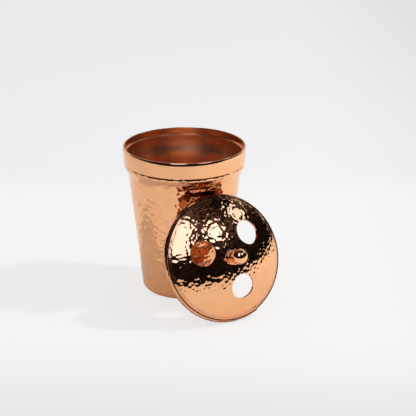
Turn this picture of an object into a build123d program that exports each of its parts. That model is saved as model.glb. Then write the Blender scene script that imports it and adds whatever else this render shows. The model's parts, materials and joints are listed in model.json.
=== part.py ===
from build123d import *
import os
from math import cos, radians, sin, sqrt

# A hammered copper tumbler, the holder, with its three-hole domed lid leaning on it.
# Origin: centre of the cup's base, on the table. +Z is up, -Y is the front, +X is to the right.
# Lengths are in millimetres and angles in degrees.

# ---- Driving dimensions: cup ----
cup_height = 107.5  # table to the top of the rim
sheet = 1.2  # copper sheet of the cup, the lid and their bands
base_sheet = 1.5  # the cup's floor
wall_foot_radius = 30.05  # outside of the straight wall, carried down to the table
wall_flare = 0.1124  # radius gained for each millimetre of height
base_corner = 4.25  # outside radius where the wall turns into the floor
shoulder_foot_drop = 18.4  # rim to the bottom of the rounded shoulder
shoulder_top_drop = 13.0  # rim to the top of the rounded shoulder

# ---- Driving dimensions: collar band ----
rim_radius = 44.0  # outside, at the top
collar_foot_radius = 43.3  # outside, at the band's lower edge
collar_drop = 11.7  # rim to the band's lower edge
ledge_drop = 4.7  # rim to the top edge of the cup body inside the band: the lid's seat

# ---- Driving dimensions: lid ----
lid_radius = 44.6  # outside of the turned-down edge
dome_rise = 16.0  # crown above the plane of the lid's edge
dome_edge_radius = 40.6  # where the dome meets the edge band
edge_depth = 2.2  # turned-down edge behind the plane of the lid's edge
edge_bend = 3.2  # outside radius of the bend into the turned-down edge
ring_radius = 41.8  # outside of the locating ring, 0.4 clear of the collar band
ring_sheet = 1.0
ring_reach = 4.5  # how far the locating ring stands out behind the edge
brush_hole_radius = 8.8
brush_hole_circle = 21.9  # radius of the circle that the hole centres lie on
brush_hole_count = 3
brush_hole_start = 163.5  # angle of the first hole, from the lid's level direction

# ---- Driving dimensions: knob ----
ball_radius = 5.4
ball_lift = 8.7  # ball centre above the crown
flange_radius = 5.4
flange_height = 1.8
neck_radius = 2.9
screw_radius = 2.0
screw_clearance = 0.2  # radial play of the screw in the dome, the flange and the washer
thread_play = 0.03
screw_length_in_ball = 2.0  # screw tip above the ball's centre
head_radius = 3.5
head_height = 2.2
slot_width = 1.0
slot_depth = 1.1
washer_radius = 4.6
washer_thickness = 0.8

# ---- Driving dimensions: how the lid leans on the cup ----
lean = 21.1  # lid's face tipped back from upright
facing = 29.4  # the way the lid faces, turned to the right of the front
placing = 26.6  # where the lid stands round the cup, to the right of the front
lean_gap = 0.35  # locating ring to the cup's wall


def wall_radius(height):
    """Outside radius of the cup's straight wall at a height."""
    return wall_foot_radius + wall_flare * height


def collar_radius(drop):
    """Outside radius of the collar band at a distance below the rim."""
    return rim_radius - (rim_radius - collar_foot_radius) * drop / collar_drop


dome_sphere = (lid_radius**2 + dome_rise**2) / (2 * dome_rise)
dome_inner_sphere = dome_sphere - sheet
sphere_depth = dome_sphere - dome_rise  # sphere centre behind the plane of the lid's edge


def dome_height(radius, sphere=dome_sphere):
    """Height of the dome's outer or inner sphere above the plane of the lid's edge."""
    return sqrt(sphere**2 - radius**2) - sphere_depth


# ---- Where the lid is: its lower edge on the table, its locating ring against the wall ----
lid_height = lid_radius * cos(radians(lean)) + edge_depth * sin(radians(lean))
ring_back = edge_depth + ring_reach
touch_height = lid_height + ring_radius * cos(radians(lean)) - ring_back * sin(radians(lean))
touch_reach = ring_radius * sin(radians(lean)) + ring_back * cos(radians(lean))
stand_off = wall_radius(touch_height) + lean_gap + touch_reach

lid_centre = Vector(stand_off * sin(radians(placing)), -stand_off * cos(radians(placing)), lid_height)
lid_level = Vector(cos(radians(facing)), sin(radians(facing)), 0)
lid_out = Vector(
    cos(radians(lean)) * sin(radians(facing)),
    -cos(radians(lean)) * cos(radians(facing)),
    sin(radians(lean)),
)
lid_plane = Plane(origin=lid_centre, x_dir=lid_level, z_dir=lid_out)
# Section through the lid's axis: local X is the radius, local Y runs outwards along the axis.
lid_section = Plane(origin=lid_centre, x_dir=lid_level, z_dir=-lid_plane.y_dir)
lid_axis = Axis(lid_centre, lid_out)

os.makedirs("parts", exist_ok=True)


def save(part, name):
    """Label a finished piece and write it as its own STEP file."""
    part.label = name
    export_step(part, f"parts/{name}.step")


# ---- Cup body: one raised shell, closed below, joggled at the top to carry the collar band ----
shoulder_foot = cup_height - shoulder_foot_drop
shoulder_top = cup_height - shoulder_top_drop
joggle = cup_height - collar_drop
ledge = cup_height - ledge_drop
inner_corner = base_corner - sheet
corner_point = wall_radius(base_corner)
floor_start = corner_point - base_corner
corner_mid = base_corner * (1 - sin(radians(45)))

with BuildPart() as cup_body:
    with BuildSketch(Plane.XZ):
        with BuildLine():
            Line((0, 0), (floor_start, 0))
            ThreePointArc((floor_start, 0), (corner_point - corner_mid, corner_mid), (corner_point, base_corner))
            Line((corner_point, base_corner), (wall_radius(shoulder_foot), shoulder_foot))
            Spline(
                (wall_radius(shoulder_foot), shoulder_foot),
                (collar_foot_radius, shoulder_top),
                tangents=((wall_flare, 1), (0, 1)),
            )
            Polyline(
                (collar_foot_radius, shoulder_top),
                (collar_foot_radius, joggle),
                (collar_foot_radius - sheet, joggle),
                (collar_radius(ledge_drop) - sheet, ledge),
                (collar_radius(ledge_drop) - 2 * sheet, ledge),
                (collar_foot_radius - 2 * sheet, joggle),
                (wall_radius(shoulder_foot) - sheet, shoulder_foot),
                (corner_point - sheet, base_sheet + inner_corner),
            )
            inner_foot = base_sheet + inner_corner
            inner_mid = inner_corner * (1 - sin(radians(45)))
            ThreePointArc(
                (corner_point - sheet, inner_foot),
                (corner_point - sheet - inner_mid, base_sheet + inner_mid),
                (corner_point - sheet - inner_corner, base_sheet),
            )
            Line((corner_point - sheet - inner_corner, base_sheet), (0, base_sheet))
            Line((0, base_sheet), (0, 0))
        make_face()
    revolve(axis=Axis.Z)
save(cup_body.part, "cup_body")

# ---- Collar band: plain ring round the mouth, its top edge rounded into the rim ----
lip_start = cup_height - sheet / 2
with BuildPart() as collar_band:
    with BuildSketch(Plane.XZ):
        with BuildLine():
            Line((collar_foot_radius, joggle), (rim_radius, lip_start))
            ThreePointArc(
                (rim_radius, lip_start),
                (rim_radius - sheet / 2, cup_height),
                (rim_radius - sheet, lip_start),
            )
            Line((rim_radius - sheet, lip_start), (collar_radius(ledge_drop) - sheet, ledge))
            Line((collar_radius(ledge_drop) - sheet, ledge), (collar_foot_radius - sheet, joggle))
            Line((collar_foot_radius - sheet, joggle), (collar_foot_radius, joggle))
        make_face()
    revolve(axis=Axis.Z)
save(collar_band.part, "collar_band")

# ---- Lid dome: a shallow hammered bowl with three brush holes and a hole for the knob's screw ----
crown_hole = screw_radius + screw_clearance
dome_mid = (crown_hole + dome_edge_radius) / 2
with BuildPart() as lid_dome:
    with BuildSketch(lid_section):
        with BuildLine():
            ThreePointArc(
                (crown_hole, dome_height(crown_hole)),
                (dome_mid, dome_height(dome_mid)),
                (dome_edge_radius, dome_height(dome_edge_radius)),
            )
            Line(
                (dome_edge_radius, dome_height(dome_edge_radius)),
                (dome_edge_radius, dome_height(dome_edge_radius, dome_inner_sphere)),
            )
            ThreePointArc(
                (dome_edge_radius, dome_height(dome_edge_radius, dome_inner_sphere)),
                (dome_mid, dome_height(dome_mid, dome_inner_sphere)),
                (crown_hole, dome_height(crown_hole, dome_inner_sphere)),
            )
            Line(
                (crown_hole, dome_height(crown_hole, dome_inner_sphere)),
                (crown_hole, dome_height(crown_hole)),
            )
        make_face()
    revolve(axis=lid_axis)
    # Each hole is cut square to the dome's surface.
    for number in range(brush_hole_count):
        angle = radians(brush_hole_start + number * 360 / brush_hole_count)
        outward = lid_plane.x_dir * cos(angle) + lid_plane.y_dir * sin(angle)
        sphere_centre = lid_centre - lid_out * sphere_depth
        centre = lid_centre + outward * brush_hole_circle + lid_out * dome_height(brush_hole_circle)
        with BuildSketch(Plane(origin=centre, z_dir=centre - sphere_centre)):
            Circle(brush_hole_radius)
        extrude(amount=3 * sheet, both=True, mode=Mode.SUBTRACT)
save(lid_dome.part, "lid_dome")

# ---- Lid edge band: the turned-down edge, a ring that the dome is joined to ----
band_top = dome_height(dome_edge_radius)
band_seat = dome_height(dome_edge_radius, dome_inner_sphere)
bend_start = band_top - (lid_radius - dome_edge_radius - edge_bend) / 3
bend_mid = edge_bend * (1 - sin(radians(45)))
bend_foot = bend_start - edge_bend
with BuildPart() as lid_edge_band:
    with BuildSketch(lid_section):
        with BuildLine():
            Line((dome_edge_radius, band_top), (lid_radius - edge_bend, bend_start))
            ThreePointArc(
                (lid_radius - edge_bend, bend_start),
                (lid_radius - bend_mid, bend_start - bend_mid),
                (lid_radius, bend_foot),
            )
            Polyline(
                (lid_radius, bend_foot),
                (lid_radius, -edge_depth),
                (lid_radius - sheet, -edge_depth),
                (lid_radius - sheet, band_seat),
                (dome_edge_radius, band_seat),
                (dome_edge_radius, band_top),
            )
        make_face()
    revolve(axis=lid_axis)
save(lid_edge_band.part, "lid_edge_band")

# ---- Locating ring: drops inside the collar band and centres the lid ----
with BuildPart() as lid_locating_ring:
    with BuildSketch(lid_section):
        with BuildLine():
            Polyline(
                (ring_radius, band_seat),
                (ring_radius, -ring_back),
                (ring_radius - ring_sheet, -ring_back),
                (ring_radius - ring_sheet, band_seat),
                close=True,
            )
        make_face()
    revolve(axis=lid_axis)
save(lid_locating_ring.part, "lid_locating_ring")

# ---- Knob flange: the round-edged ring under the ball, curved below to sit on the dome ----
flange_top = dome_rise + flange_height
flange_face = flange_radius - flange_height / 2
flange_mid = (crown_hole + flange_face) / 2
with BuildPart() as knob_flange:
    with BuildSketch(lid_section):
        with BuildLine():
            ThreePointArc(
                (crown_hole, dome_height(crown_hole)),
                (flange_mid, dome_height(flange_mid)),
                (flange_face, dome_height(flange_face)),
            )
            ThreePointArc(
                (flange_face, dome_height(flange_face)),
                (flange_radius, flange_top - flange_height / 2),
                (flange_face, flange_top),
            )
            Line((flange_face, flange_top), (crown_hole, flange_top))
            Line((crown_hole, flange_top), (crown_hole, dome_height(crown_hole)))
        make_face()
    revolve(axis=lid_axis)
save(knob_flange.part, "knob_flange")

# ---- Knob: a turned ball with a short neck, tapped from below ----
ball_centre = dome_rise + ball_lift
thread_radius = screw_radius + thread_play
neck_top = ball_centre - sqrt(ball_radius**2 - neck_radius**2)
tip_height = ball_centre + screw_length_in_ball
with BuildPart() as knob:
    with BuildSketch(lid_section):
        with BuildLine():
            Polyline((0, tip_height), (thread_radius, tip_height), (thread_radius, flange_top))
            Line((thread_radius, flange_top), (neck_radius, flange_top))
            Line((neck_radius, flange_top), (neck_radius, neck_top))
            ThreePointArc(
                (neck_radius, neck_top),
                (ball_radius, ball_centre),
                (0, ball_centre + ball_radius),
            )
            Line((0, ball_centre + ball_radius), (0, tip_height))
        make_face()
    revolve(axis=lid_axis)
save(knob.part, "knob")

# ---- Washer and screw: they hold the knob from inside the lid ----
washer_top = dome_height(washer_radius, dome_inner_sphere)
washer_foot = washer_top - washer_thickness
with BuildPart() as knob_washer:
    with BuildSketch(lid_plane.offset(washer_foot)):
        Circle(washer_radius)
        Circle(crown_hole, mode=Mode.SUBTRACT)
    extrude(amount=washer_thickness)
save(knob_washer.part, "knob_washer")

head_foot = washer_foot - head_height
with BuildPart() as knob_screw:
    with BuildSketch(lid_plane.offset(washer_foot)):
        Circle(head_radius)
    extrude(amount=-head_height)
    fillet(knob_screw.faces().sort_by(lid_axis)[0].edges(), radius=head_height / 2.5)
    with BuildSketch(lid_plane.offset(washer_foot)):
        Circle(screw_radius)
    extrude(amount=tip_height - thread_play - washer_foot)
    with BuildSketch(lid_plane.offset(head_foot)):
        Rectangle(2 * head_radius, slot_width)
    extrude(amount=slot_depth, mode=Mode.SUBTRACT)
save(knob_screw.part, "knob_screw")
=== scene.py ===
# %% [markdown]
# # A hammered copper tumbler with its lid leaning on it
# The tumbler is raised from sheet copper, planished with a round-faced hammer and polished.
# A plain band round the mouth carries the lid, which has three brush holes and a ball knob.
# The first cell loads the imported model: its bodies, its nodes and its one joint are the fixed
# frame that every piece below is built around.

# %% The frame
import bmesh
import bpy
import json
import math
import random
from mathutils import Euler, Matrix, Vector, kdtree, noise


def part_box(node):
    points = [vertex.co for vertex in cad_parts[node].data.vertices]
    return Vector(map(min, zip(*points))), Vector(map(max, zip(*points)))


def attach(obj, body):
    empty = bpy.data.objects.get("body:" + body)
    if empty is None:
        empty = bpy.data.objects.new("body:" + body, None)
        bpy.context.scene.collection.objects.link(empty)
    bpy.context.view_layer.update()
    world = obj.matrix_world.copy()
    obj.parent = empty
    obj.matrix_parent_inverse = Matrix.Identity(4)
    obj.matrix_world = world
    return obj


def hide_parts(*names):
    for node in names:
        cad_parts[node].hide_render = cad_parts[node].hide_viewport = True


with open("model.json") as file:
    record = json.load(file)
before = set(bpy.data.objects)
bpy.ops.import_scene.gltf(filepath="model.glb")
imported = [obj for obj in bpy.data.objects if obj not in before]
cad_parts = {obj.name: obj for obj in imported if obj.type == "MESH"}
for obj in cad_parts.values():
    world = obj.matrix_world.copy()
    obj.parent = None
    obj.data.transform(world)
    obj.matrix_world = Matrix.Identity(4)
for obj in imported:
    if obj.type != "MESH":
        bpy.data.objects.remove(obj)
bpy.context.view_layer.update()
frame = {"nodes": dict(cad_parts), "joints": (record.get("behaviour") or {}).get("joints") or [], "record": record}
random.seed(11)
mm = 0.001
print("nodes:", sorted(frame["nodes"]))

# %% [markdown]
# ## The sizes that the pieces share
# The frame gives the places: the rim's height comes from the collar band's box, and the lid's
# own axis is the axis of its joint. The three brush holes are set evenly round that axis, so the
# middle of their places lies on it. A few more sizes of the sheet work are named here once.

# %% Sizes of the cup
sheet = 1.2 * mm
rim_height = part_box("collar_band")[1].z
joint_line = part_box("collar_band")[0].z
ledge_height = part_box("cup_body")[1].z
rim_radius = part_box("collar_band")[1].x
shoulder_radius = 43.3 * mm
shoulder_top = rim_height - 13.0 * mm
shoulder_foot = rim_height - 18.4 * mm
wall_foot_radius = 30.05 * mm
wall_flare = 0.1124
base_corner = 4.25 * mm
floor_thickness = 1.5 * mm


def wall_radius(height):
    """Outside radius of the straight wall at a height."""
    return wall_foot_radius + wall_flare * height


def outside_radius(height):
    """Outside radius of the body at a height, over the shoulder too."""
    share = min(1, max(0, (height - shoulder_foot) / (shoulder_top - shoulder_foot)))
    return wall_radius(height) + share * (shoulder_radius - wall_radius(shoulder_top))


print("rim", round(rim_radius / mm, 1), "joint line", round(joint_line / mm, 1), "mm up")

# %% Sizes and place of the lid
lid_radius = 44.6 * mm
crown_rise = 16.0 * mm
dome_edge = 40.6 * mm
edge_depth = 2.2 * mm
hole_radius = 8.8 * mm
hole_circle = 21.9 * mm
dome_sphere = (lid_radius**2 + crown_rise**2) / (2 * crown_rise)
sphere_depth = dome_sphere - crown_rise

lid_out = Vector(frame["joints"][0]["axis"]).normalized()
holes = [m for m in frame["record"]["mounts"] if m["kind"] == "bore"]
hub = sum((Vector(m["pos_m"]) for m in holes), Vector()) / len(holes)
hole_slope = math.asin(hole_circle / dome_sphere)
hole_depth = 1.16 * mm
hub_height = (dome_sphere - hole_depth) * math.cos(hole_slope) - sphere_depth
lid_centre = hub - lid_out * hub_height
lid_level = Vector((-lid_out.y, lid_out.x, 0)).normalized()
lid_up = lid_out.cross(lid_level)
lid_place = Matrix.Translation(lid_centre) @ Matrix((lid_level, lid_up, lid_out)).transposed().to_4x4()


def dome_height(radius):
    """Height of the dome's outside above the plane of the lid's edge."""
    return math.sqrt(dome_sphere**2 - radius**2) - sphere_depth


print("lid centre", [round(c / mm, 1) for c in lid_centre], "holes", [m["name"] for m in holes])

# %% [markdown]
# ## Turning a piece from its outline
# Nearly every piece here is round. Its section is drawn as a chain of edges, sharp corners are
# rounded by the bevel operator on those vertices, long edges are divided, and the spin operator
# carries the chain once round the axis. One function does that for every turned piece.

# %% The turning helper
merge_reach = 0.01 * mm
sharpest_smooth = math.radians(50)


def turn(outline, steps, spacing, round_segments=4, plain=lambda middle: False, plain_spacing=3.6 * mm):
    """A bmesh spun about Z from a list of (radius, height, rounding); plain edges are divided coarsely."""
    bm = bmesh.new()
    chain = [bm.verts.new((radius, 0, height)) for radius, height, _ in outline]
    for first, second in zip(chain, chain[1:]):
        bm.edges.new((first, second))
    if outline[0][0] > 0:
        bm.edges.new((chain[-1], chain[0]))
    for vert, (_, _, rounding) in zip(chain, outline):
        if rounding:
            bmesh.ops.bevel(bm, geom=[vert], offset=rounding, offset_type="OFFSET", affect="VERTICES",
                            segments=round_segments, profile=0.5, material=-1)
    for edge in bm.edges[:]:
        middle = (edge.verts[0].co + edge.verts[1].co) / 2
        cuts = int(edge.calc_length() / (plain_spacing if plain(middle) else spacing))
        if cuts:
            bmesh.ops.subdivide_edges(bm, edges=[edge], cuts=cuts)
    bmesh.ops.spin(bm, geom=bm.verts[:] + bm.edges[:], cent=(0, 0, 0), axis=(0, 0, 1), dvec=(0, 0, 0),
                   angle=2 * math.pi, steps=steps, use_merge=True, use_duplicate=False)
    bmesh.ops.remove_doubles(bm, verts=bm.verts[:], dist=merge_reach)
    bmesh.ops.recalc_face_normals(bm, faces=bm.faces[:])
    return bm


def finish_piece(bm, name, body, nodes, materials, place=None):
    """Turns a bmesh into a smooth-shaded object that stands for CAD nodes and rides on a body."""
    if place:
        bmesh.ops.transform(bm, matrix=place, verts=bm.verts)
    for face in bm.faces:
        face.smooth = True
    mesh = bpy.data.meshes.new(name)
    bm.to_mesh(mesh)
    bm.free()
    mesh.set_sharp_from_angle(angle=sharpest_smooth)
    for material in materials:
        mesh.materials.append(material)
    piece = bpy.data.objects.new(name, mesh)
    bpy.context.scene.collection.objects.link(piece)
    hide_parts(*nodes)
    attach(piece, body)
    print(name, len(mesh.vertices), "vertices")


print("turned pieces are smooth up to", round(math.degrees(sharpest_smooth)), "degrees")

# %% [markdown]
# ## Hammer blows
# A planishing hammer leaves a shallow bowl at each blow, and the bowls meet in soft ridges.
# Here each blow is a point with a small tilt of its own. A vertex goes down into the nearest
# bowls, blended by a soft minimum so that the ridges are rounded, as polishing leaves them.

# %% The hammering helper
deepest_extra = 0.02 * mm
bowls_blended = 5
soft_ridge = 0.006 * mm


def swing(spots, tilt):
    """Gives each blow's place a small tilt and depth of its own."""
    blows = []
    for spot in spots:
        lean = Vector([random.gauss(0, tilt) for _ in range(3)])
        blows.append((spot, lean, random.uniform(0, deepest_extra)))
    return blows


def hammer(bm, blows, bowl, chosen=lambda vert: True, outward=None):
    """Moves chosen vertices into the nearest bowls, along their normals or along outward(place)."""
    tree = kdtree.KDTree(len(blows))
    for index, (spot, _, _) in enumerate(blows):
        tree.insert(spot, index)
    tree.balance()
    bm.normal_update()
    moves = []
    for vert in bm.verts:
        if not chosen(vert):
            continue
        levels = []
        for spot, index, gap in tree.find_n(vert.co, bowls_blended):
            _, lean, sink = blows[index]
            levels.append(bowl * gap**2 + lean.dot(vert.co - spot) - sink)
        lowest = min(levels)
        soft = sum(math.exp((lowest - level) / soft_ridge) for level in levels)
        way = outward(vert.co) if outward else vert.normal
        moves.append((vert, way * (lowest - soft_ridge * math.log(soft))))
    for vert, move in moves:
        vert.co += move
    print("hammered", len(moves), "vertices with", len(blows), "blows")


def waver(bm, size, depth, seed, chosen=lambda vert: True):
    """Pushes vertices in and out gently, as handwork does over a longer distance."""
    bm.normal_update()
    offset = Vector((seed, seed * 0.7, -seed))
    for vert in [v for v in bm.verts if chosen(v)]:
        vert.co += vert.normal * depth * noise.noise(vert.co / size + offset)


print("each place blends its", bowls_blended, "nearest bowls")

# %% [markdown]
# ## Shader building blocks
# Copper shows the same few effects in every finish: a tone that drifts in clouds, a polish that
# is hazier in places, hairlines left by the wheel and fine hammer texture. Each is one node
# group with named sockets, so that every material below uses the same blocks with its own values.

# %% Node helpers


def new_group(name, inputs, outputs):
    """A shader node group with sockets given as {name: (type, default)} and {name: type}."""
    tree = bpy.data.node_groups.new(name, "ShaderNodeTree")
    for label, (kind, default) in inputs.items():
        socket = tree.interface.new_socket(label, in_out="INPUT", socket_type=kind)
        if default is not None:
            socket.default_value = default
    for label, kind in outputs.items():
        tree.interface.new_socket(label, in_out="OUTPUT", socket_type=kind)
    return tree, tree.nodes.new("NodeGroupInput"), tree.nodes.new("NodeGroupOutput")


def add(tree, kind, values=None, **settings):
    """A new node with its settings and its input values; a socket among the values is linked."""
    node = tree.nodes.new(kind)
    for key, value in settings.items():
        setattr(node, key, value)
    for key, value in (values or {}).items():
        if isinstance(value, bpy.types.NodeSocket):
            tree.links.new(value, node.inputs[key])
        else:
            node.inputs[key].default_value = value
    return node


def per_metre(tree, size):
    """How often a pattern repeats in a metre, from the size of one of its marks."""
    return add(tree, "ShaderNodeMath", {0: 1.0, 1: size}, operation="DIVIDE").outputs[0]


VALUE = "NodeSocketFloat"
COLOUR = "NodeSocketColor"
VECTOR = "NodeSocketVector"
print("sockets:", VALUE, COLOUR, VECTOR)

# %% Copper tone: the colour drifts between two coppers
copper_tone, tone_in, tone_out = new_group(
    "Copper tone",
    {"Vector": (VECTOR, None), "Cloud Size": (VALUE, 0.03), "Bright": (COLOUR, (0.95, 0.55, 0.35, 1)),
     "Deep": (COLOUR, (0.8, 0.4, 0.2, 1)), "Amount": (VALUE, 0.5)},
    {"Colour": COLOUR},
)
clouds = add(copper_tone, "ShaderNodeTexNoise",
             {"Vector": tone_in.outputs["Vector"], "Detail": 4.0, "Roughness": 0.6,
              "Scale": per_metre(copper_tone, tone_in.outputs["Cloud Size"])})
spread = add(copper_tone, "ShaderNodeMapRange",
             {"Value": clouds.outputs["Fac"], "From Min": 0.35, "From Max": 0.7},
             interpolation_type="SMOOTHSTEP")
drifted = add(copper_tone, "ShaderNodeMath",
              {0: spread.outputs["Result"], 1: tone_in.outputs["Amount"]}, operation="MULTIPLY")
blended = add(copper_tone, "ShaderNodeMix",
              {"Factor": drifted.outputs[0], "A": tone_in.outputs["Bright"], "B": tone_in.outputs["Deep"]},
              data_type="RGBA")
copper_tone.links.new(blended.outputs["Result"], tone_out.inputs["Colour"])
print("group", copper_tone.name)

# %% Polish haze: the roughness drifts, with small smudges
polish_haze, haze_in, haze_out = new_group(
    "Polish haze",
    {"Vector": (VECTOR, None), "Smudge Size": (VALUE, 0.012), "Clean": (VALUE, 0.08), "Hazy": (VALUE, 0.2)},
    {"Roughness": VALUE},
)
smudges = add(polish_haze, "ShaderNodeTexNoise",
              {"Vector": haze_in.outputs["Vector"], "Detail": 5.0, "Roughness": 0.65,
               "Scale": per_metre(polish_haze, haze_in.outputs["Smudge Size"])})
haze_range = add(polish_haze, "ShaderNodeMapRange",
                 {"Value": smudges.outputs["Fac"], "From Min": 0.3, "From Max": 0.75,
                  "To Min": haze_in.outputs["Clean"], "To Max": haze_in.outputs["Hazy"]})
polish_haze.links.new(haze_range.outputs["Result"], haze_out.inputs["Roughness"])
print("group", polish_haze.name)

# %% Wheel lines: hairlines that run round the axis
wheel_lines, line_in, line_out = new_group(
    "Wheel lines", {"Vector": (VECTOR, None), "Spacing": (VALUE, 0.0006)}, {"Height": VALUE},
)
stretch = add(wheel_lines, "ShaderNodeVectorMath",
              {0: line_in.outputs["Vector"], 1: (0.03, 0.03, 1.0)}, operation="MULTIPLY")
hairlines = add(wheel_lines, "ShaderNodeTexNoise",
                {"Vector": stretch.outputs["Vector"], "Detail": 3.0,
                 "Scale": per_metre(wheel_lines, line_in.outputs["Spacing"])})
wheel_lines.links.new(hairlines.outputs["Fac"], line_out.inputs["Height"])
print("group", wheel_lines.name)

# %% Planish grain: the small blows between the large ones
planish_grain, grain_in, grain_out = new_group(
    "Planish grain", {"Vector": (VECTOR, None), "Blow Size": (VALUE, 0.0015)}, {"Height": VALUE},
)
small_blows = add(planish_grain, "ShaderNodeTexVoronoi",
                  {"Vector": grain_in.outputs["Vector"], "Smoothness": 0.6,
                   "Scale": per_metre(planish_grain, grain_in.outputs["Blow Size"])},
                  feature="SMOOTH_F1")
dust = add(planish_grain, "ShaderNodeTexNoise",
           {"Vector": grain_in.outputs["Vector"], "Scale": 2500.0, "Detail": 2.0})
grain_height = add(planish_grain, "ShaderNodeMath",
                   {0: dust.outputs["Fac"], 1: 0.12, 2: small_blows.outputs["Distance"]},
                   operation="MULTIPLY_ADD")
planish_grain.links.new(grain_height.outputs[0], grain_out.inputs["Height"])
print("group", planish_grain.name)

# %% [markdown]
# ## The copper finishes
# One function places the blocks in a material. Metal is a Principled BSDF with Metallic at one,
# so its Base Color is the colour of its reflections. What differs is how clean the polish is,
# how large the marks are and whether hairlines or hammer grain raise the surface.

# %% The copper material function
to_lid = lid_place.inverted()
cloud_size = 9 * mm


def copper(name, bright, deep, drift, clean, hazy, marks, mark_size, mark_height, on_lid=False):
    """A copper finish. Marks is the group that raises the surface: planish_grain or wheel_lines."""
    material = bpy.data.materials.new(name)
    material.use_nodes = True
    tree = material.node_tree
    shader = tree.nodes["Principled BSDF"]
    shader.inputs["Metallic"].default_value = 1.0
    where = add(tree, "ShaderNodeTexCoord").outputs["Object"]
    if on_lid:
        turned = add(tree, "ShaderNodeMapping", {"Vector": where, "Location": to_lid.translation,
                                                 "Rotation": to_lid.to_euler()})
        where = turned.outputs["Vector"]
    tone = add(tree, "ShaderNodeGroup",
               {"Vector": where, "Cloud Size": cloud_size, "Bright": (*bright, 1), "Deep": (*deep, 1),
                "Amount": drift}, node_tree=copper_tone)
    haze = add(tree, "ShaderNodeGroup", {"Vector": where, "Clean": clean, "Hazy": hazy},
               node_tree=polish_haze)
    size_name = "Blow Size" if marks is planish_grain else "Spacing"
    raised = add(tree, "ShaderNodeGroup", {"Vector": where, size_name: mark_size}, node_tree=marks)
    bump = add(tree, "ShaderNodeBump", {"Height": raised.outputs["Height"], "Distance": mark_height})
    tree.links.new(tone.outputs["Colour"], shader.inputs["Base Color"])
    tree.links.new(haze.outputs["Roughness"], shader.inputs["Roughness"])
    tree.links.new(bump.outputs["Normal"], shader.inputs["Normal"])
    print("finish", name)
    return material


print("tone clouds", round(cloud_size / mm), "mm wide")

# %% The finishes
rose = (0.955, 0.50, 0.255)
russet = (0.86, 0.42, 0.21)
cup_outside = copper("Planished copper wall", rose, russet, drift=0.5, clean=0.07, hazy=0.13,
                     marks=planish_grain, mark_size=1.6 * mm, mark_height=0.010 * mm)
# The inside's copper is darker and redder than the outside: painted shade of the hollow and of the copper light
# that fills it.
shade_darkened_inside = copper("Satin copper inside", (0.88, 0.42, 0.22), (0.80, 0.35, 0.175), drift=0.5, clean=0.27,
                    hazy=0.32, marks=wheel_lines, mark_size=0.5 * mm, mark_height=0.001 * mm)
collar_finish = copper("Polished copper band", rose, russet, drift=0.5, clean=0.07, hazy=0.15,
                       marks=wheel_lines, mark_size=0.35 * mm, mark_height=0.002 * mm)
mouth_finish = copper("Satin copper mouth", (0.93, 0.48, 0.27), (0.84, 0.39, 0.20), drift=0.6, clean=0.17,
                      hazy=0.24, marks=wheel_lines, mark_size=0.4 * mm, mark_height=0.001 * mm)
lid_finish = copper("Mirror planished copper", rose, russet, drift=0.5, clean=0.04, hazy=0.09,
                    marks=planish_grain, mark_size=1.3 * mm, mark_height=0.006 * mm, on_lid=True)
# The edge band's copper is darker all round: painted shade for the shaded table that the bend mirrors under the
# lid.
shade_darkened_edge_finish = copper("Shade-darkened copper edge", (0.84, 0.41, 0.215), (0.68, 0.31, 0.155), drift=0.8, clean=0.10,
                     hazy=0.2, marks=planish_grain, mark_size=1.3 * mm, mark_height=0.010 * mm, on_lid=True)
knob_finish = copper("Turned mirror copper", (0.95, 0.52, 0.29), rose, drift=0.4, clean=0.03, hazy=0.08,
                     marks=wheel_lines, mark_size=0.25 * mm, mark_height=0.001 * mm, on_lid=True)
ring_finish = copper("Plain copper strip", (0.85, 0.43, 0.24), russet, drift=0.8, clean=0.16, hazy=0.3,
                     marks=wheel_lines, mark_size=0.4 * mm, mark_height=0.004 * mm, on_lid=True)
brass_finish = copper("Turned brass fixings", (0.78, 0.56, 0.25), (0.6, 0.4, 0.16), drift=0.6, clean=0.15,
                      hazy=0.3, marks=wheel_lines, mark_size=0.3 * mm, mark_height=0.003 * mm, on_lid=True)

# %% [markdown]
# ## The cup body
# The body is one raised shell: a flat floor, a rounded corner, a straight flaring wall, and a
# rounded shoulder on which the collar band sits. Above the joint line the sheet steps in by its
# own thickness and ends inside the band, where its edge is the ledge that the lid rests on.
# The outside is hammered in rows from the corner up to the joint line, and the inside is satin.

# %% The cup's outline
inside_corner = base_corner - sheet
band_inside = rim_radius - sheet
step_radius = shoulder_radius - sheet
up_the_band = (ledge_height - joint_line) / (rim_height - joint_line)
ledge_radius = step_radius + (band_inside - step_radius) * up_the_band
joint_groove = 0.5 * mm
swell_drop = 0.7 * mm
swell_round = 1.2 * mm
shoulder_round = 3.2 * mm
inside_round = 3 * mm
cup_outline = [
    (0, 0, 0),
    (wall_radius(0), 0, base_corner),
    (wall_radius(shoulder_foot), shoulder_foot, shoulder_round),
    (shoulder_radius, shoulder_top - swell_drop, swell_round),
    (shoulder_radius - joint_groove, joint_line, 0.2 * mm),
    (step_radius, joint_line, 0),
    (ledge_radius, ledge_height, 0.25 * mm),
    (ledge_radius - sheet, ledge_height, 0.35 * mm),
    (step_radius - sheet, joint_line, inside_round),
    (wall_radius(shoulder_foot) - sheet, shoulder_foot, inside_round),
    (wall_radius(floor_thickness) - sheet, floor_thickness, inside_corner),
    (0, floor_thickness, 0),
]


def plain_inside(place):
    """True on the floor and the inside wall, where the sheet isn't hammered."""
    return place.x < outside_radius(place.z) - sheet / 2


cup = turn(cup_outline, steps=390, spacing=0.66 * mm, round_segments=5, plain=plain_inside)
print("cup faces", len(cup.faces), "open edges", sum(not e.is_manifold for e in cup.edges))

# %% Hammering the cup
blow_row = 3.1 * mm
blow_step = 3.4 * mm
rows_past_joint = 3
off_step = 0.16
off_row = 0.17
cup_tilt = 0.055
cup_bowl = 42.0
first_blow = 0.6 * mm
cup_waver_size = 14 * mm
cup_waver = 0.12 * mm
level_enough = 0.6


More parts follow.
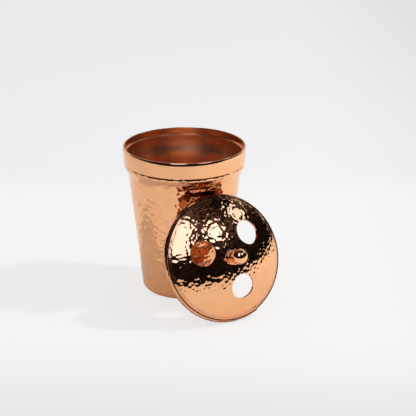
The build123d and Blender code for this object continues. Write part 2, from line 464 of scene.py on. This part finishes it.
def cup_blows():
    """Rows of blows round the wall, each a little out of line."""
    blows = []
    for row in range(int(joint_line / blow_row) + rows_past_joint):
        height = row * blow_row
        radius = min(outside_radius(height), shoulder_radius)
        count = int(2 * math.pi * radius / blow_step)
        start = random.random()
        for number in range(count):
            angle = 2 * math.pi * (number + start + random.gauss(0, off_step)) / count
            lift = height + random.gauss(0, off_row) * blow_row
            blows.append(Vector((radius * math.cos(angle), radius * math.sin(angle), lift)))
    return blows


def outside_wall(vert):
    """True on the hammered outside: clear of the floor and below the joint line."""
    reach = math.hypot(vert.co.x, vert.co.y)
    outside = reach > outside_radius(vert.co.z) - sheet / 2
    return outside and first_blow < vert.co.z < joint_line + merge_reach


hammer(cup, swing(cup_blows(), cup_tilt), cup_bowl, chosen=outside_wall)
waver(cup, cup_waver_size, cup_waver, seed=3.0, chosen=outside_wall)
for face in cup.faces:
    middle = face.calc_center_median()
    facing_in = face.normal.x * middle.x + face.normal.y * middle.y < 0
    inside = facing_in or face.normal.z > level_enough
    face.material_index = 1 if inside and middle.z > sheet else 0
finish_piece(cup, "Cup_shell", "cup", ["cup_body"], [cup_outside, shade_darkened_inside])

# %% [markdown]
# ## The collar band
# The band is left plain: it is turned with a thin rounded lip, then wavered very slightly,
# because a band that is brazed on and filed by hand is never quite true. Its lower edge is
# rounded, which leaves a fine groove against the body, and that groove wanders up and down.

# %% The band
lip_round = 0.28 * mm
lip_fall = 0.3 * mm
lip_width = 0.55 * mm
band_waver_size = 16 * mm
band_waver = 0.10 * mm
band_outline = [
    (shoulder_radius - sheet, joint_line, 0),
    (shoulder_radius, joint_line, 0.3 * mm),
    (rim_radius, rim_height - 1.5 * mm, 0.7 * mm),
    (rim_radius - lip_fall, rim_height - lip_fall, lip_round),
    (rim_radius - lip_width, rim_height, 0.2 * mm),
    (rim_radius - sheet, rim_height, 0.4 * mm),
    (ledge_radius, ledge_height, 0),
]


def band_outside(vert):
    """True on the outside of the band."""
    return math.hypot(vert.co.x, vert.co.y) > ledge_radius + sheet / 2


band = turn(band_outline, steps=384, spacing=0.8 * mm, round_segments=6)
waver(band, band_waver_size, band_waver, seed=7.0, chosen=band_outside)
for face in band.faces:
    middle = face.calc_center_median()
    inward = -(face.normal.x * middle.x + face.normal.y * middle.y) / rim_radius
    face.material_index = 1 if inward > 0.5 else 0
finish_piece(band, "Collar_band", "cup", ["collar_band"], [collar_finish, mouth_finish])

# %% [markdown]
# ## The lid's dome
# The dome has three holes, so it isn't turned: it starts as a fine square grid, is cut back to
# the round outline, pressed on to its sphere and cut through at the holes, and the cut edges are
# drawn on to their circles. Then the sheet is hammered, and the solidify operator gives it its
# thickness on the inner side.

# %% Cutting the dome's sheet
grid_spacing = 0.42 * mm
three_lobes = 0.008
five_lobes = 0.006
sphere_centre = Vector((0, 0, -sphere_depth))
hole_directions = [(to_lid @ Vector(m["pos_m"]) - sphere_centre).normalized() for m in holes]
grid_count = int(2 * dome_edge / grid_spacing) + 2
dome = bmesh.new()
bmesh.ops.create_grid(dome, x_segments=grid_count, y_segments=grid_count,
                      size=grid_count * grid_spacing / 2)
outer_faces = [f for f in dome.faces if f.calc_center_median().length > dome_edge]
bmesh.ops.delete(dome, geom=outer_faces, context="FACES")
for vert in dome.verts:
    vert.co.z = dome_height(min(vert.co.length, dome_edge + grid_spacing))


def off_axis(point, direction):
    """The part of a point's place that is square to an axis through the sphere's centre."""
    arm = point - sphere_centre
    return arm - direction * arm.dot(direction)


def hole_edge(side, direction, number):
    """Radius of a hole's edge: nearly round, as a hand-cut hole is."""
    angle = math.atan2(side.z, side.cross(direction).z) + number
    return hole_radius * (1 + three_lobes * math.sin(3 * angle) + five_lobes * math.sin(5 * angle + 1))


for direction in hole_directions:
    inner_faces = [f for f in dome.faces if off_axis(f.calc_center_median(), direction).length < hole_radius]
    bmesh.ops.delete(dome, geom=inner_faces, context="FACES")
print("dome faces", len(dome.faces))

# %% Drawing the cut edges on to their circles
for vert in dome.verts:
    if not vert.is_boundary:
        continue
    flat = Vector((vert.co.x, vert.co.y, 0))
    if flat.length > dome_edge - 2 * grid_spacing:
        flat = flat.normalized() * dome_edge
        vert.co = (flat.x, flat.y, dome_height(dome_edge))
        continue
    for number, direction in enumerate(hole_directions):
        side = off_axis(vert.co, direction)
        if side.length < hole_radius + 2 * grid_spacing:
            moved = vert.co - side + side.normalized() * hole_edge(side, direction, number)
            vert.co = sphere_centre + (moved - sphere_centre).normalized() * dome_sphere
bmesh.ops.recalc_face_normals(dome, faces=dome.faces[:])
if sum(face.normal.z for face in dome.faces) < 0:
    bmesh.ops.reverse_faces(dome, faces=dome.faces[:])
print("boundary vertices", sum(v.is_boundary for v in dome.verts))

# %% Hammering the lid
ring_step = 2.5 * mm
off_ring = 0.2
lid_tilt = 0.04
lid_bowl = 40.0
bend_round = 0.5 * mm
edge_arc = dome_sphere * math.asin(dome_edge / dome_sphere)
dome_foot = dome_height(dome_edge)
edge_fall = dome_edge / (dome_foot + sphere_depth)
edge_corner = dome_foot - edge_fall * (lid_radius - dome_edge)


def lid_profile(along):
    """Radius and height on the lid's outside at a distance from the crown, over the bend too."""
    if along < edge_arc:
        angle = along / dome_sphere
        return dome_sphere * math.sin(angle), dome_sphere * math.cos(angle) - sphere_depth
    slant = (along - edge_arc) / math.hypot(1, edge_fall)
    if dome_edge + slant < lid_radius - bend_round:
        return dome_edge + slant, dome_foot - edge_fall * slant
    return lid_radius, max(-edge_depth, edge_corner - (dome_edge + slant - lid_radius + bend_round))


def lid_spots():
    """Rings of blows from the crown over the dome and the bend, each a little out of line."""
    spots = [Vector((0, 0, crown_rise))]
    rings = int((edge_arc + lid_radius - dome_edge + edge_depth) / ring_step) + 1
    for ring in range(1, rings + 1):
        around = lid_profile(ring * ring_step)[0]
        count = int(2 * math.pi * around / ring_step)
        start = random.random()
        for number in range(count):
            radius, height = lid_profile((ring + random.gauss(0, off_ring)) * ring_step)
            angle = 2 * math.pi * (number + start + random.gauss(0, off_ring)) / count
            spots.append(Vector((radius * math.cos(angle), radius * math.sin(angle), height)))
    return spots


def lid_outward(place):
    """The way out of the lid: from the sphere's centre on the dome, turning level at the edge."""
    share = min(1, max(0, (place.z + edge_depth) / (dome_foot + edge_depth)))
    return Vector((place.x, place.y, (place.z + sphere_depth) * share)).normalized()


lid_blows = swing(lid_spots(), lid_tilt)
hammer(dome, lid_blows, lid_bowl, outward=lid_outward)
bmesh.ops.solidify(dome, geom=dome.verts[:] + dome.edges[:] + dome.faces[:], thickness=sheet)
finish_piece(dome, "Lid_dome", "lid", ["lid_dome"], [lid_finish], lid_place)

# %% [markdown]
# ## The lid's edge band
# A strip is bent round the dome, turned down and closed with a lap. Just before the lap the strip
# stands a little proud, and the step there can be felt with a finger. The strip is turned like the
# other round pieces, and it takes the same blows as the dome, so that the marks run on over the
# crease.

# %% The edge band
bend_reach = 1.9 * mm
seat = math.sqrt((dome_sphere - sheet) ** 2 - dome_edge**2) - sphere_depth
lap_angle = math.radians(295)
lap_step = 0.7 * mm
lap_fade = math.radians(12)
edge_outline = [
    (dome_edge, seat, 0),
    (dome_edge, dome_foot, 0),
    (lid_radius, edge_corner, bend_reach),
    (lid_radius, -edge_depth, 0.35 * mm),
    (lid_radius - sheet, -edge_depth, 0.3 * mm),
    (lid_radius - sheet, seat, 0),
]
edge = turn(edge_outline, steps=420, spacing=0.5 * mm, round_segments=7)


def edge_outside(vert):
    """True on the outside of the band."""
    return math.hypot(vert.co.x, vert.co.y) > lid_radius - sheet / 2 or vert.co.z > seat + sheet / 3


hammer(edge, lid_blows, lid_bowl, chosen=edge_outside, outward=lid_outward)
for vert in edge.verts:
    behind = (lap_angle - math.atan2(vert.co.y, vert.co.x)) % (2 * math.pi)
    outward = Vector((vert.co.x, vert.co.y, 0)).normalized()
    vert.co += outward * lap_step * math.exp(-behind / lap_fade)
finish_piece(edge, "Lid_edge_band", "lid", ["lid_edge_band"], [shade_darkened_edge_finish],
             lid_place)

# %% [markdown]
# ## The locating ring, the knob and its flange
# The ring behind the lid is a plain strip. The knob is turned from bar: a ball, a short neck and
# a round-edged flange under it, polished until they mirror the room.

# %% The locating ring
ring_radius = 41.8 * mm
ring_sheet = 1.0 * mm
ring_drop = 4.5 * mm
ring_corner = 0.3 * mm
ring_foot = -(edge_depth + ring_drop)
ring_outline = [
    (ring_radius, seat, 0),
    (ring_radius, ring_foot, ring_corner),
    (ring_radius - ring_sheet, ring_foot, ring_corner),
    (ring_radius - ring_sheet, seat, 0),
]
ring = turn(ring_outline, steps=256, spacing=1.2 * mm)
finish_piece(ring, "Lid_locating_ring", "lid", ["lid_locating_ring"], [ring_finish],
             lid_place)

# %% The knob
ball_radius = 5.4 * mm
ball_height = crown_rise + 8.7 * mm
flange_top = crown_rise + 1.8 * mm
neck_radius = 2.9 * mm
neck_top = ball_height - math.sqrt(ball_radius**2 - neck_radius**2)
ball_turns = 28
lowest_angle = -math.acos(neck_radius / ball_radius)
ball_outline = [(0, flange_top, 0), (neck_radius, flange_top, 0.3 * mm), (neck_radius, neck_top, 0)]
for number in range(1, ball_turns):
    angle = lowest_angle + (math.pi / 2 - lowest_angle) * number / ball_turns
    ball_outline.append((ball_radius * math.cos(angle), ball_height + ball_radius * math.sin(angle), 0))
ball_outline.append((0, ball_height + ball_radius, 0))
ball = turn(ball_outline, steps=96, spacing=0.6 * mm)
finish_piece(ball, "Knob_ball", "lid", ["knob"], [knob_finish], lid_place)

# %% The flange under the ball
flange_radius = 5.4 * mm
flange_bore = 2.2 * mm
flange_round = 0.85 * mm
flange_outline = [
    (flange_bore, crown_rise - 0.04 * mm, 0),
    (flange_radius, crown_rise - 0.2 * mm, flange_round),
    (flange_radius, flange_top, flange_round),
    (flange_bore, flange_top, 0),
]
flange = turn(flange_outline, steps=96, spacing=0.5 * mm, round_segments=8)
finish_piece(flange, "Knob_flange", "lid", ["knob_flange"], [knob_finish], lid_place)

# %% The washer and the screw keep their exact shapes and get the brass finish
for name in ("knob_washer", "knob_screw"):
    for place in frame["nodes"][name].material_slots:
        place.material = brass_finish
    print(name, [place.material.name for place in frame["nodes"][name].material_slots])

# %% [markdown]
# ## The studio
# Polished metal shows the room, so the room is most of the picture: a pale table that ends a
# little in front of the lid, a pale sweep behind, darkness in front, and three softboxes that
# become the bright patches in the dome. The table and the sweep are stage, not object.

# %% [markdown]
# ## The table's surface
# A pale table with one small lamp would darken unevenly towards its edges. So a share of what the eye
# sees of it is painted light: a glow of its own that lifts the lamp's shadows. The glow has painted shade:
# it is darker towards the near edge and the right, and greyer towards the far edge. The rest is
# real light with soft shadows. The painted glow is only for the eye: reflections in the copper meet
# the plain surface.

# %% The table's material
# The share of the eye's view that is a painted glow, which lifts the lamp's shadows.
painted_glow_share = 0.76
table_white = (0.83, 0.83, 0.82, 1)
# Colours of the painted glow. The far and near ones are painted shade, where the light falls off.
painted_glow_colour = (0.93, 0.925, 0.917, 1)
far_edge_painted_shade = (0.875, 0.875, 0.895, 1)
near_edge_painted_shade = (0.77, 0.77, 0.765, 1)
table = bpy.data.materials.new("Pale table")
table.use_nodes = True
table_tree = table.node_tree
table_shader = table_tree.nodes["Principled BSDF"]
table_shader.inputs["Base Color"].default_value = table_white
table_shader.inputs["Roughness"].default_value = 0.7
table_shader.inputs["Specular IOR Level"].default_value = 0.1
table_place = add(table_tree, "ShaderNodeTexCoord").outputs["Object"]
across = add(table_tree, "ShaderNodeSeparateXYZ", {"Vector": table_place})
far = add(table_tree, "ShaderNodeMapRange",
          {"Value": across.outputs["Y"], "From Min": 0.19, "From Max": 0.27},
          interpolation_type="SMOOTHSTEP")
near = add(table_tree, "ShaderNodeMapRange",
           {"Value": across.outputs["Y"], "From Min": -0.09, "From Max": -0.24},
           interpolation_type="SMOOTHSTEP")
glow_with_far_shade = add(table_tree, "ShaderNodeMix",
               {"Factor": far.outputs["Result"], "A": painted_glow_colour, "B": far_edge_painted_shade},
               data_type="RGBA")
painted_glow_tone = add(table_tree, "ShaderNodeMix",
                 {"Factor": near.outputs["Result"], "A": glow_with_far_shade.outputs["Result"],
                  "B": near_edge_painted_shade}, data_type="RGBA")
# Painted shade: the glow dims towards the right, as light falls off.
right_painted_falloff = add(table_tree, "ShaderNodeMapRange",
            {"Value": across.outputs["X"], "From Min": 0.1, "From Max": 0.3, "To Min": 1.0, "To Max": 0.88},
            interpolation_type="SMOOTHSTEP")
# The painted glow: light that the table gives off itself, seen only by the eye.
painted_glow = add(table_tree, "ShaderNodeEmission",
                 {"Color": painted_glow_tone.outputs["Result"], "Strength": right_painted_falloff.outputs["Result"]})
to_eye = add(table_tree, "ShaderNodeLightPath")
wash = add(table_tree, "ShaderNodeMath",
           {0: to_eye.outputs["Is Camera Ray"], 1: painted_glow_share}, operation="MULTIPLY")
washed = add(table_tree, "ShaderNodeMixShader",
             {"Fac": wash.outputs[0], 1: table_shader.outputs["BSDF"], 2: painted_glow.outputs["Emission"]})
table_tree.links.new(washed.outputs["Shader"], table_tree.nodes["Material Output"].inputs["Surface"])
print("material", table.name)

# %% The sweep's material
sweep = bpy.data.materials.new("Pale sweep")
sweep.use_nodes = True
sweep_shader = sweep.node_tree.nodes["Principled BSDF"]
sweep_shader.inputs["Base Color"].default_value = (0, 0, 0, 1)
sweep_shader.inputs["Emission Color"].default_value = (0.9, 0.89, 0.9, 1)
sweep_shader.inputs["Emission Strength"].default_value = 0.8
print("material", sweep.name)

# %% The table and the sweep, in metres
table_front = -0.33
reach = 9.0
sweep_left = -0.9
sweep_right = 0.6
sweep_back = 0.5
sweep_top = 0.9


def stage_sheet(name, corners, material, camera=True, glossy=True, diffuse=True):
    """A flat four-cornered stage surface, with the rays that may see it."""
    bm = bmesh.new()
    bm.faces.new([bm.verts.new(corner) for corner in corners])
    mesh = bpy.data.meshes.new(name)
    bm.to_mesh(mesh)
    bm.free()
    mesh.materials.append(material)
    sheet_object = bpy.data.objects.new(name, mesh)
    bpy.context.scene.collection.objects.link(sheet_object)
    sheet_object.visible_camera = camera
    sheet_object.visible_glossy = glossy
    sheet_object.visible_diffuse = diffuse
    print("stage", name)
    return sheet_object


near_corners = [(-reach, table_front, 0), (reach, table_front, 0), (reach, reach, 0), (-reach, reach, 0)]
front_corners = [(-reach, -reach, 0), (reach, -reach, 0), (reach, table_front, 0), (-reach, table_front, 0)]
sweep_corners = [(sweep_left, sweep_back, 0), (sweep_right, sweep_back, 0),
                 (sweep_right, sweep_back, sweep_top), (sweep_left, sweep_back, sweep_top)]
stage_sheet("Table_near", near_corners, table)
stage_sheet("Table_front", front_corners, table, glossy=False)
backdrop = stage_sheet("Sweep", sweep_corners, sweep, camera=False, diffuse=False)
backdrop.visible_shadow = False

# %% [markdown]
# ## The lights
# The softboxes are only seen in the reflections, and one small lamp is only seen by the table, so
# that the bright patches and the shadows can be set apart from each other. The softboxes are a
# little blue, because copper takes the blue out of what it mirrors and daylight on it looks white.

# %% The softboxes
lamp_distance = 1.2


def softbox(name, azimuth, elevation, width, height, glow, tint=(1, 1, 1), mirrored=True):
    """An area light aimed at the lid, seen in reflections or only lighting the table."""
    data = bpy.data.lights.new(name, "AREA")
    data.shape = "RECTANGLE"
    data.size = width
    data.size_y = height
    data.color = tint
    data.energy = glow * width * height * math.pi
    light = bpy.data.objects.new(name, data)
    bpy.context.scene.collection.objects.link(light)
    about = math.radians(azimuth)
    rise = math.radians(elevation)
    level = math.cos(rise)
    direction = Vector((math.sin(about) * level, -math.cos(about) * level, math.sin(rise)))
    light.location = lid_centre + direction * lamp_distance
    light.rotation_euler = direction.to_track_quat("Z", "Y").to_euler()
    light.visible_camera = False
    light.visible_glossy = mirrored
    light.visible_diffuse = not mirrored
    print(name, "at", [round(c, 2) for c in light.location])


daylight = (0.55, 0.72, 1.0)
softbox("Front_softbox", azimuth=-14, elevation=47, width=0.5, height=0.95, glow=2.5, tint=daylight)
softbox("Side_softbox", azimuth=48, elevation=48, width=0.38, height=0.4, glow=3.2, tint=daylight)
softbox("Right_softbox", azimuth=106, elevation=43, width=0.34, height=0.34, glow=2.2, tint=daylight)
softbox("Key_lamp", azimuth=95, elevation=48, width=0.08, height=0.08, glow=370, mirrored=False)

# %% [markdown]
# ## The air of the room
# The eye and the table meet a pale, even air, but the copper mirrors a dim room. The test asks
# whether a ray comes from a mirror, and whether it left the table before: the table's own light
# stays pale even where it comes off the copper. The dim room is a little livelier higher up.

# %% The air: pale to the eye and to the table, dark in the reflections
pale_air = (0.73, 0.73, 0.74, 1)
darkest = (0.004, 0.004, 0.005, 1)
room_glow = (0.14, 0.10, 0.10, 1)
world = bpy.data.worlds.new("Studio")
world.use_nodes = True
bpy.context.scene.world = world
air = world.node_tree
background = air.nodes["Background"]
rays = add(air, "ShaderNodeLightPath")
direct = add(air, "ShaderNodeMath", {0: rays.outputs["Diffuse Depth"], 1: 0.5}, operation="LESS_THAN")
mirrored = add(air, "ShaderNodeMath",
               {0: rays.outputs["Is Glossy Ray"], 1: direct.outputs[0]}, operation="MULTIPLY")
toward = add(air, "ShaderNodeTexCoord").outputs["Generated"]
corners = add(air, "ShaderNodeTexNoise", {"Vector": toward, "Scale": 5.0, "Detail": 3.0})
gloom = add(air, "ShaderNodeMapRange",
            {"Value": corners.outputs["Fac"], "From Min": 0.46, "From Max": 0.66})
upward = add(air, "ShaderNodeSeparateXYZ", {"Vector": toward})
higher = add(air, "ShaderNodeMapRange",
             {"Value": upward.outputs["Z"], "From Min": 0.35, "From Max": 0.95, "To Min": 0.12,
              "To Max": 1.3})
dimness = add(air, "ShaderNodeMath",
              {0: gloom.outputs["Result"], 1: higher.outputs["Result"]}, operation="MULTIPLY")
dim_room = add(air, "ShaderNodeMix",
               {"Factor": dimness.outputs[0], "A": darkest, "B": room_glow}, data_type="RGBA")
room_tone = add(air, "ShaderNodeMix",
                {"Factor": mirrored.outputs[0], "A": pale_air, "B": dim_room.outputs["Result"]},
                data_type="RGBA")
air.links.new(room_tone.outputs["Result"], background.inputs["Color"])
background.inputs["Strength"].default_value = 1.0
print("world", world.name)

# %% [markdown]
# ## The camera
# A long lens from a good metre away keeps the tumbler's sides straight. It looks down about twenty
# degrees, so that the inside of the mouth shows.

# %% The camera
looking_down = math.radians(19.69)
camera_data = bpy.data.cameras.new("Camera")
camera_data.sensor_width = 36
camera_data.lens = 140.8
camera = bpy.data.objects.new("Camera", camera_data)
bpy.context.scene.collection.objects.link(camera)
camera.location = (16.8 * mm, -1104.9 * mm, 455.1 * mm)
camera.rotation_euler = Euler((math.pi / 2 - looking_down, 0, 0))
bpy.context.scene.camera = camera
bpy.context.scene.view_settings.view_transform = "Standard"
print("camera", tuple(camera.location))
